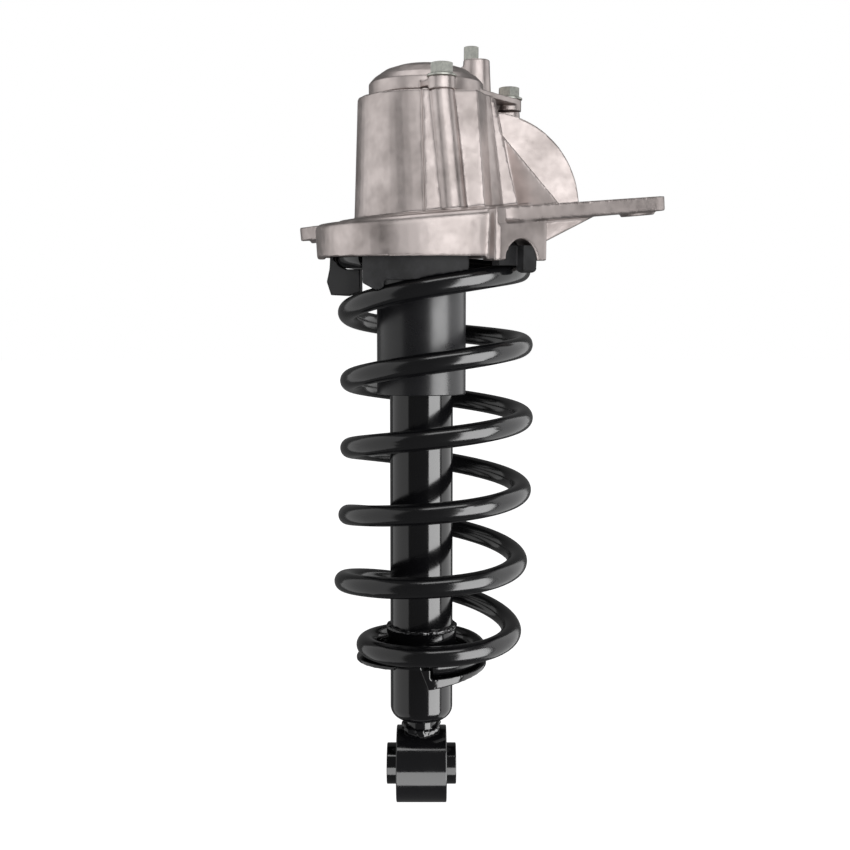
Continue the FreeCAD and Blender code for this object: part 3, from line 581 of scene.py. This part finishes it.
@dataclass
class CastMount:
    """The cast aluminium mount and cap, with fillets and a cast skin. Voxels in mm."""
    finishes: Finishes
    housing_voxel: float = 0.8
    cap_voxel: float = 0.55
    housing_triangles: int = 190000
    cap_triangles: int = 90000
    passes: int = 4

    def build(self) -> None:
        """Make both castings."""
        housing = copy_of("mount_housing", "mount_casting")
        soften(housing, self.housing_voxel, self.passes, self.housing_triangles)
        finish_piece(housing, Body.MOUNT, self.finishes.casting, "die_cast_aluminium", ["mount_housing"])
        cap = copy_of("mount_cap", "cap_casting")
        soften(cap, self.cap_voxel, self.passes, self.cap_triangles)
        finish_piece(cap, Body.MOUNT, self.finishes.casting, "die_cast_aluminium", ["mount_cap"])


# ------------------------------------------------------------------ bolts and screw

@dataclass
class HexHead:
    """One hexagon-headed fastener, standing on a seat along the tipped mount's axis. Sizes in mm."""
    flats: float
    height: float
    shank_radius: float
    shank_length: float
    flange_radius: float = 0.0
    flange_height: float = 0.0
    pitch: float = 1.25
    thread_depth: float = 0.10
    plain_shank: float = 3.0
    chamfer_share: float = 0.42
    least_chamfer: float = 0.5
    top_share: float = 0.93
    dish_share: float = 0.62
    dish_floor_share: float = 0.50
    dish_depth: float = 0.55
    chamfer_steepness: float = 3.0
    rim_share: float = 0.52
    rim_height_share: float = 0.62
    flange_rise_share: float = 0.45
    rim_bevel: float = 0.35
    rim_bevel_angle: float = math.radians(40)
    threaded_share: float = 0.98
    smooth_angle: float = math.radians(28)

    def build(self, name: str, seat: Vector, axis: Vector) -> bpy.types.Object:
        """Make the head, its flange and the shank.

        Args:
            name: The piece's name.
            seat: The point on the axis where the head bears.
            axis: The direction from the seat to the head.

        Returns:
            The fastener, with its place in its mesh.
        """
        parts = [self.make_head(), self.make_shank()]
        if self.flange_radius:
            parts.append(self.make_flange())
        bolt = joined(parts, name)
        bolt.rotation_mode = "QUATERNION"
        bolt.rotation_quaternion = axis.to_track_quat("Z", "Y")
        bolt.location = seat
        seat_mesh(bolt)
        bpy.ops.object.shade_smooth_by_angle(angle=self.smooth_angle)
        return bolt

    def make_cylinder(self, radius: float, low: float, high: float, sides: int,
                      ends: str = "NGON") -> bpy.types.Object:
        """A round blank on the fastener's axis, with its place in its mesh.

        Args:
            radius: Its radius, in metres.
            low: Height of its bottom, in metres.
            high: Height of its top, in metres.
            sides: How many sides stand for the circle.
            ends: How its ends are closed.

        Returns:
            The blank.
        """
        bpy.ops.mesh.primitive_cylinder_add(vertices=sides, radius=radius, depth=high - low,
                                            end_fill_type=ends, location=(0, 0, (high + low) / 2))
        blank = bpy.context.object
        seat_mesh(blank)
        return blank

    def make_head(self) -> bpy.types.Object:
        """The hexagon, its corners cut back by the cone that a forged head has, with a dished top."""
        start_in_flange = 0.8
        high = self.height * MM
        corner = self.flats / math.sqrt(3) * MM
        half = self.flats / 2 * MM
        chamfer = self.chamfer_share * (corner - half) + self.least_chamfer * MM
        head = self.make_cylinder(corner, start_in_flange * self.flange_height * MM, high, sides=48)

        def to_flats(point: Vector) -> Vector:
            """Pull a point of the round blank in to the flats.

            Args:
                point: A point of the blank.

            Returns:
                Its place on the hexagon, or on the axis for the middle of an end.
            """
            angle = math.atan2(point.y, point.x)
            off = (angle + math.pi / 6) % (math.pi / 3) - math.pi / 6
            at_rim = math.hypot(point.x, point.y) > corner / 2
            reach = half / math.cos(off) if at_rim else 0.0
            return Vector((reach * math.cos(angle), reach * math.sin(angle), point.z))

        shift_points(head, to_flats)
        self.chamfer_top(head, high, half, chamfer)
        return head

    def chamfer_top(self, head: bpy.types.Object, high: float, half: float, chamfer: float) -> None:
        """Inset the top face to a circle below the corners, and dish it.

        Args:
            head: The hexagon.
            high: Height of its top.
            half: Half the size across its flats.
            chamfer: Height of the chamfer at the corners.
        """
        mesh = bmesh.new()
        mesh.from_mesh(head.data)
        top = max(mesh.faces, key=lambda face: face.calc_center_median().z + face.calc_area())
        rings = ((self.top_share, 0.0), (self.dish_share, 0.0),
                 (self.dish_floor_share, self.dish_depth * MM))
        first_inset = 0.1 * MM
        for share, drop in rings:
            radius = half * share
            bmesh.ops.inset_region(mesh, faces=[top], thickness=first_inset)
            for vertex in top.verts[:]:
                angle = math.atan2(vertex.co.y, vertex.co.x)
                vertex.co = Vector((radius * math.cos(angle), radius * math.sin(angle), high - drop))
        hair = 0.01 * MM
        just_inside_flats = 0.99 * half
        for vertex in mesh.verts:
            reach = math.hypot(vertex.co.x, vertex.co.y)
            if vertex.co.z > high - hair and reach > just_inside_flats:
                past_circle = (reach - self.top_share * half) / half
                vertex.co.z = high - chamfer * past_circle * self.chamfer_steepness
        mesh.to_mesh(head.data)
        mesh.free()
        head.data.update()

    def make_flange(self) -> bpy.types.Object:
        """The round flange under the hexagon, with a rounded rim and a sloping top."""
        thick = self.flange_height * MM
        rim_height = self.rim_height_share * thick
        rise = self.flange_rise_share * thick
        flange = self.make_cylinder(self.flange_radius * MM, 0.0, thick, sides=64)

        def lower_top(point: Vector) -> Vector:
            """Bring the flange's top down to the height of its rim.

            Args:
                point: A point of the blank.

            Returns:
                Its place on the thin flange.
            """
            if point.z > thick / 2:
                point.z = rim_height
            return point

        shift_points(flange, lower_top)
        bpy.ops.object.mode_set(mode="EDIT")
        mesh = bmesh.from_edit_mesh(flange.data)
        facing_up = 0.9
        for face in mesh.faces:
            face.select = face.normal.z > facing_up
        bmesh.update_edit_mesh(flange.data)
        bpy.ops.mesh.inset(thickness=(self.flange_radius - self.rim_share * self.flats) * MM)
        bpy.ops.transform.translate(value=(0, 0, rise))
        bpy.ops.object.mode_set(mode="OBJECT")
        apply_modifier(flange, "BEVEL", width=self.rim_bevel * MM, segments=3, limit_method="ANGLE",
                       angle_limit=self.rim_bevel_angle)
        return flange

    def make_shank(self) -> bpy.types.Object:
        """The shank with rolled threads, standing in its hole."""
        turns = max(int(self.shank_length / self.pitch), 1)
        cuts_per_turn = 4
        foot = -self.threaded_share * self.shank_length * MM
        shank = self.make_cylinder(self.shank_radius * MM, -self.shank_length * MM, 0.0, sides=32,
                                   ends="TRIFAN")
        bpy.ops.object.mode_set(mode="EDIT")
        mesh = bmesh.from_edit_mesh(shank.data)
        walls = [edge for edge in mesh.edges if abs(edge.verts[0].co.z - edge.verts[1].co.z) > MM]
        bmesh.ops.subdivide_edges(mesh, edges=walls, cuts=cuts_per_turn * turns)
        for vertex in mesh.verts:
            if foot < vertex.co.z < -self.plain_shank * MM:
                turn = math.atan2(vertex.co.y, vertex.co.x) / (2 * math.pi)
                phase = vertex.co.z / (self.pitch * MM) + turn
                scale = 1 - self.thread_depth * abs(2 * (phase % 1) - 1)
                vertex.co.x *= scale
                vertex.co.y *= scale
        bmesh.update_edit_mesh(shank.data)
        bpy.ops.object.mode_set(mode="OBJECT")
        return shank


@dataclass
class MountFasteners:
    """The three flanged cap bolts and the post's small screw, placed from their CAD nodes."""
    finishes: Finishes
    tilt: float = math.radians(4.2)
    bolt: HexHead = field(default_factory=lambda: HexHead(
        flats=13.0, height=8.0, shank_radius=3.9, shank_length=26.0, flange_radius=8.9, flange_height=1.9))
    screw: HexHead = field(default_factory=lambda: HexHead(
        flats=9.4, height=8.4, shank_radius=2.9, shank_length=18.0))

    def axis(self) -> Vector:
        """The direction that the tipped mount's fasteners stand in."""
        return Vector((0.0, -math.sin(self.tilt), math.cos(self.tilt)))

    def places(self, node: str, head: float) -> list[Vector]:
        """The seat of each fastener in a CAD node.

        Args:
            node: The CAD node of one or more fasteners.
            head: Height of the head above its seat.

        Returns:
            The points where the heads bear, on the fasteners' axes.
        """
        source = copy_of(node, "scratch")
        mesh = bmesh.new()
        mesh.from_mesh(source.data)
        axis = self.axis()
        crown_depth = 0.05 * MM
        seats = []
        loose = set(mesh.verts)
        for start in mesh.verts:
            if start not in loose:
                continue
            loose.remove(start)
            island = [start]
            for reached in island:
                for edge in reached.link_edges:
                    other = edge.other_vert(reached)
                    if other in loose:
                        loose.remove(other)
                        island.append(other)
            top = max(vertex.co.dot(axis) for vertex in island)
            crown = [vertex.co for vertex in island if vertex.co.dot(axis) > top - crown_depth]
            centre = sum(crown, Vector()) / len(crown)
            seats.append(centre - axis * head * MM)
        mesh.free()
        bpy.data.objects.remove(source)
        return seats

    def build(self) -> None:
        """Make the bolts and the screw."""
        axis = self.axis()
        bolts = [self.bolt.build(f"bolt_{number}", seat, axis)
                 for number, seat in enumerate(self.places("cap_bolts", self.bolt.height))]
        finish_piece(joined(bolts, "cap_bolt_set"), Body.MOUNT, self.finishes.zinc, "zinc_plated_steel",
                     ["cap_bolts"])
        seat = self.places("post_screw", self.screw.height)[0]
        finish_piece(self.screw.build("post_hex_screw", seat, axis), Body.MOUNT, self.finishes.zinc,
                     "zinc_plated_steel", ["post_screw"])


# ------------------------------------------------------------------ spring and its seats

@dataclass(frozen=True)
class RubberPart:
    """One moulded piece: its CAD node, its name, its finish and slot, and how finely it is remeshed."""
    node: str
    name: str
    material: bpy.types.Material
    slot: str
    voxel: float


@dataclass
class SpringGroup:
    """The coil spring, the pressed lower seat, its weld and the rubber parts at the top.

    The anchors are heights in metres, and the other sizes are in millimetres.
    """
    finishes: Finishes
    spring_anchor: float = 0.334
    spring_keep: float = 0.62
    bump_anchor: float = 0.388
    bump_keep: float = 0.5
    wire_bevel: float = 0.8
    wire_bevel_angle: float = math.radians(60)
    wire_smooth_angle: float = math.radians(35)
    bump_voxel: float = 1.0
    bump_passes: int = 8
    bump_triangles: int = 40000
    seat_voxel: float = 0.55
    seat_passes: int = 4
    seat_triangles: int = 110000
    weld_radius: float = 2.0
    weld_inset: float = 1.8
    weld_lift: float = 1.0
    weld_pitch: float = 3.4
    weld_ripple: float = 0.9
    rubber_passes: int = 3
    rubber_triangles: int = 90000

    def build(self) -> None:
        """Make each piece."""
        self.build_spring()
        self.build_bump_stop()
        self.build_lower_seat()
        self.build_seat_weld()
        self.build_rubber()

    def build_spring(self) -> None:
        """The spring, with its cut ends eased."""
        spring = copy_of("coil_spring", "coil_spring_wire")
        apply_modifier(spring, "BEVEL", width=self.wire_bevel * MM, segments=3, limit_method="ANGLE",
                       angle_limit=self.wire_bevel_angle)
        pick(spring)
        bpy.ops.object.shade_smooth_by_angle(angle=self.wire_smooth_angle)
        finish_piece(spring, Body.ROD, self.finishes.powder, "spring_coating", ["coil_spring"])
        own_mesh(spring)

    def build_bump_stop(self) -> None:
        """The foam stop, its lobes rounded."""
        stop = copy_of("bump_stop", "bump_stop_foam")
        soften(stop, self.bump_voxel, self.bump_passes, self.bump_triangles)
        finish_piece(stop, Body.ROD, self.finishes.foam, "foam_rubber", ["bump_stop"])
        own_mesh(stop)

    def build_lower_seat(self) -> None:
        """The seat with the soft edges of pressed sheet."""
        seat = copy_of("lower_spring_seat", "lower_seat_pressing")
        soften(seat, self.seat_voxel, self.seat_passes, self.seat_triangles)
        finish_piece(seat, Body.DAMPER, self.finishes.gloss, "gloss_black_paint", ["lower_spring_seat"])

    def build_seat_weld(self) -> None:
        """The lumpy weld round the top of the collar."""
        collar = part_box("seat_collar")[1]
        heart = collar[0] - self.weld_inset * MM
        bpy.ops.mesh.primitive_torus_add(major_segments=240, minor_segments=20, major_radius=heart,
                                         minor_radius=self.weld_radius * MM,
                                         location=(0, 0, collar[2] + self.weld_lift * MM))
        bead = bpy.context.object
        bead.name = "seat_weld_bead"
        seat_mesh(bead)
        shift_points(bead, lumps(heart, self.weld_pitch, self.weld_ripple))
        bpy.ops.object.shade_smooth()
        finish_piece(bead, Body.DAMPER, self.finishes.gloss, "gloss_black_paint", ["seat_weld"])

    def build_rubber(self) -> None:
        """The rubber seat, its lug and the plug, with moulded edges."""
        rubber, plastic = self.finishes.rubber, self.finishes.plastic
        parts = (RubberPart("upper_insulator", "upper_seat_rubber", rubber, "black_rubber", voxel=0.9),
                 RubberPart("insulator_lug", "seat_lug_rubber", rubber, "black_rubber", voxel=0.4),
                 RubberPart("insulator_plug", "wire_end_plug", plastic, "black_plastic", voxel=0.45))
        for part in parts:
            piece = copy_of(part.node, part.name)
            soften(piece, part.voxel, self.rubber_passes, self.rubber_triangles)
            finish_piece(piece, Body.MOUNT, part.material, part.slot, [part.node])


def lumps(radius: float, pitch_mm: float, height_mm: float) -> Callable[[Vector], Vector]:
    """Displacement that gives a ring of weld its ripples and its uneven toe.

    Args:
        radius: Radius of the bead's centre line, in metres.
        pitch_mm: Half the spacing of the ripples.
        height_mm: How much they stand out.

    Returns:
        A function from a point on the bead to its new place.
    """
    ripple_share = 0.225
    wander_share = 0.7
    fine_share = 0.35
    wander_size = 5.0 * MM
    fine_size = 1.6 * MM
    upwards = 0.6
    ripples = math.pi * radius / (pitch_mm * MM)

    def move(point: Vector) -> Vector:
        """Push one point out from the bead's centre line.

        Args:
            point: A point of the smooth bead.

        Returns:
            Its place on the lumpy bead.
        """
        angle = math.atan2(point.y, point.x)
        heart = Vector((radius * math.cos(angle), radius * math.sin(angle), 0.0))
        out = Vector((point.x - heart.x, point.y - heart.y, 0.0))
        wander = lattice.noise(point * (1.0 / wander_size))
        fine = lattice.noise(point * (1.0 / fine_size))
        bulge = ripple_share * math.sin(angle * ripples) + wander_share * wander + fine_share * fine
        push = height_mm * MM * bulge
        direction = out.normalized() if out.length > 0 else Vector(Z_AXIS)
        return point + direction * push + Vector((0.0, 0.0, push * upwards))

    return move


# ------------------------------------------------------------------ damper and eye

@dataclass
class DamperFoot:
    """The weld between the tube's neck and the eye. Sizes in mm."""
    finishes: Finishes
    bead_radius: float = 10.3
    bead_height: float = 26.2
    bead_thickness: float = 2.3
    ripple_pitch: float = 4.6
    ripple_height: float = 1.5
    neck_voxel: float = 0.5
    neck_passes: int = 3
    neck_triangles: int = 40000

    def build(self) -> None:
        """Make the neck and the lumpy bead that saddles the eye."""
        neck = copy_of("eye_weld", "eye_weld_neck")
        soften(neck, self.neck_voxel, self.neck_passes, self.neck_triangles)
        bpy.ops.mesh.primitive_torus_add(major_segments=160, minor_segments=18,
                                         major_radius=self.bead_radius * MM,
                                         minor_radius=self.bead_thickness * MM,
                                         location=(0, 0, self.bead_height * MM))
        bead = bpy.context.object
        seat_mesh(bead)
        eye_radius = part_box("lower_eye")[1][2]

        def saddle(point: Vector) -> Vector:
            """Drop the bead's front and back onto the round eye."""
            drop = eye_radius - math.sqrt(max(eye_radius ** 2 - point.y ** 2, 0.0))
            return point - Vector((0.0, 0.0, drop))

        shift_points(bead, lumps(self.bead_radius * MM, self.ripple_pitch, self.ripple_height))
        shift_points(bead, saddle)
        bpy.ops.object.shade_smooth()
        weld = joined([neck, bead], "eye_weld_bead")
        finish_piece(weld, Body.DAMPER, self.finishes.gloss, "gloss_black_paint", ["eye_weld"])


# ------------------------------------------------------------------ dressing the CAD nodes

@dataclass
class Dressing:
    """Gives each CAD node that stays in view its finish."""
    finishes: Finishes

    def dress(self) -> None:
        """Assign materials to all nodes by group."""
        groups = {
            self.finishes.steel: ["rod_nut", "top_washer", "bush_shell", "bush_sleeve", "piston_nut",
                                  "pressure_tube", "bump_stop_cup", "valve_discs", "rebound_stop"],
            self.finishes.chrome: ["piston_rod"],
            self.finishes.sintered: ["piston", "rod_guide", "foot_valve"],
            self.finishes.rubber: ["bush_rubber", "lower_bush_rubber", "rod_seal"],
            self.finishes.plastic: ["piston_band"],
            self.finishes.satin: ["dust_tube"],
            self.finishes.gloss: ["damper_tube", "tube_cap", "seat_collar", "lower_eye",
                                  "lower_bush_sleeve"],
        }
        for material, names in groups.items():
            for name in names:
                paint(frame["nodes"][name], material)
                log.info("dressed %s with %s", name, material.name)


# ------------------------------------------------------------------ studio

@dataclass(frozen=True)
class Card:
    """A rectangular soft light, placed round the object in metres.

    Azimuth 0 is the camera's side, and positive is to its right. A radiance of 1 is as bright as the
    white surround.
    """
    name: str
    azimuth: float
    distance: float
    height: float
    size: tuple[float, float]
    radiance: float

    def place(self) -> tuple[float, float, float]:
        """The card's centre, in metres."""
        angle = math.radians(self.azimuth)
        return (self.distance * math.sin(angle), -self.distance * math.cos(angle), self.height)


# The bare metal and rubber are lit by one group of cards, and the black paint by another.
BARE_FINISHES = ("die_cast", "zinc", "turned", "hard", "sintered", "foamed", "moulded")
BARE_CARDS = (
    Card("front_fill", azimuth=-16, distance=1.6, height=0.6, size=(1.3, 1.3), radiance=0.85),
    Card("left_side", azimuth=-90, distance=1.4, height=0.5, size=(1.9, 1.6), radiance=0.9),
    Card("right_front", azimuth=26, distance=1.5, height=0.45, size=(1.5, 1.6), radiance=1.75),
    Card("right_side", azimuth=105, distance=1.4, height=0.5, size=(1.3, 1.6), radiance=0.8),
    Card("overhead", azimuth=0, distance=0.1, height=1.7, size=(1.4, 1.2), radiance=1.2),
    Card("from_below", azimuth=0, distance=0.5, height=-0.7, size=(2.0, 1.2), radiance=0.7),
)
BLACK_FINISHES = ("gloss", "satin")
BLACK_CARDS = (
    Card("gloss_strip", azimuth=49, distance=1.3, height=0.2, size=(1.05, 1.9), radiance=8.5),
    Card("gloss_left", azimuth=-88, distance=1.3, height=0.2, size=(2.2, 3.4), radiance=0.75),
    Card("gloss_right", azimuth=108, distance=1.3, height=0.2, size=(1.5, 3.4), radiance=1.5),
    Card("gloss_high", azimuth=9.46, distance=0.608, height=1.36, size=(0.9, 0.34), radiance=4.5),
)
EYE_NODES = ("lower_eye", "lower_bush_sleeve")
EYE_CARD = Card("eye_card", azimuth=0, distance=0.40, height=-0.19, size=(0.8, 0.33), radiance=5.0)


@dataclass
class Studio:
    """Pale floor, soft lights and the camera. Places are in metres, the lens and sensor in mm."""
    camera_place: tuple[float, float, float] = (0.00234, -0.6720, 0.2747)
    camera_pitch: float = -4.137
    lens: float = 43.79
    sensor: float = 36.0
    floor_height: float = -0.16
    floor_size: float = 80.0
    floor_colour: str = "#f4f4f4"
    floor_roughness: float = 0.9
    surround: float = 0.14
    mount_centre: tuple[float, float, float] = (0.0, 0.0, 0.38)
    damper_centre: tuple[float, float, float] = (0.0, 0.0, 0.2)
    eye_centre: tuple[float, float, float] = (0.0, 0.0, -0.02)

    def build(self) -> None:
        """Make the world, floor, lights and camera."""
        self.light_world()
        self.lay_floor()
        self.hang_lights()
        self.set_camera()
        scene = bpy.context.scene
        scene.view_settings.view_transform = "Standard"
        scene.view_settings.look = "None"

    def light_world(self) -> None:
        """An even white surround, seen as plain white and a little darker where it lights."""
        world = bpy.data.worlds.new("white_surround")
        world.use_nodes = True
        tree = world.node_tree
        seen = add_node(tree, "ShaderNodeLightPath").outputs["Is Camera Ray"]
        ground = tree.nodes["Background"]
        ground.inputs["Color"].default_value = WHITE
        strength = ramp(tree, seen, FULL, (self.surround, 1.0))
        tree.links.new(strength, ground.inputs["Strength"])
        bpy.context.scene.world = world

    def lay_floor(self) -> None:
        """A wide plain floor with its edges lost in the surround."""
        bpy.ops.mesh.primitive_plane_add(size=self.floor_size, location=(0, 0, self.floor_height))
        floor = bpy.context.object
        floor.name = "floor"
        material = bpy.data.materials.new("pale_floor")
        material.use_nodes = True
        shader = material.node_tree.nodes["Principled BSDF"]
        shader.inputs["Base Color"].default_value = linear(self.floor_colour)
        shader.inputs["Roughness"].default_value = self.floor_roughness
        shader.inputs["Emission Color"].default_value = WHITE
        shader.inputs["Emission Strength"].default_value = 1.0
        paint(floor, material)
        floor.visible_glossy = False
        floor.visible_shadow = False

    def add_card(self, card: Card, aim: Sequence[float], receivers: bpy.types.Collection) -> None:
        """Hang a soft light that the camera doesn't see.

        Args:
            card: The light's name, place, size and brightness.
            aim: The point that it faces.
            receivers: The pieces that it lights.
        """
        place = Vector(card.place())
        data = bpy.data.lights.new(card.name, "AREA")
        data.shape = "RECTANGLE"
        data.size, data.size_y = card.size
        data.energy = card.radiance * math.pi * card.size[0] * card.size[1]
        lamp = bpy.data.objects.new(card.name, data)
        bpy.context.scene.collection.objects.link(lamp)
        lamp.location = place
        lamp.rotation_mode = "QUATERNION"
        lamp.rotation_quaternion = (Vector(aim) - place).to_track_quat("-Z", "Y")
        lamp.visible_camera = False
        lamp.light_linking.receiver_collection = receivers

    def gather(self, name: str, prefixes: tuple[str, ...]) -> bpy.types.Collection:
        """A collection of the pieces whose finish has one of these names.

        Args:
            name: Name of the collection.
            prefixes: How the finishes' names start.

        Returns:
            The collection.
        """
        group = bpy.data.collections.new(name)
        for piece in bpy.context.scene.objects:
            slots = piece.material_slots
            if slots and slots[0].material and slots[0].material.name.startswith(prefixes):
                group.objects.link(piece)
        return group

    def hang_lights(self) -> None:
        """Broad soft cards for the bare metal, and narrower ones that the black paint reflects."""
        bare = self.gather("bare_pieces", BARE_FINISHES)
        for card in BARE_CARDS:
            self.add_card(card, self.mount_centre, bare)
        black = self.gather("black_pieces", BLACK_FINISHES)
        for card in BLACK_CARDS:
            self.add_card(card, self.damper_centre, black)
        eye = bpy.data.collections.new("eye_pieces")
        for name in EYE_NODES:
            eye.objects.link(frame["nodes"][name])
        self.add_card(EYE_CARD, self.eye_centre, eye)

    def set_camera(self) -> None:
        """The camera of the reference view."""
        data = bpy.data.cameras.new("camera")
        data.lens = self.lens
        data.sensor_width = self.sensor
        camera = bpy.data.objects.new("camera", data)
        bpy.context.scene.collection.objects.link(camera)
        camera.location = self.camera_place
        camera.rotation_euler = (math.radians(90 + self.camera_pitch), 0.0, 0.0)
        bpy.context.scene.camera = camera


# ------------------------------------------------------------------ main


def main() -> None:
    """Build everything in order."""
    logging.basicConfig(level=logging.INFO, format="%(name)s: %(message)s")
    finishes = Finishes()
    Dressing(finishes).dress()
    CastMount(finishes).build()
    MountFasteners(finishes).build()
    SpringGroup(finishes).build()
    DamperFoot(finishes).build()
    Studio().build()


if __name__ == "__main__":
    main()
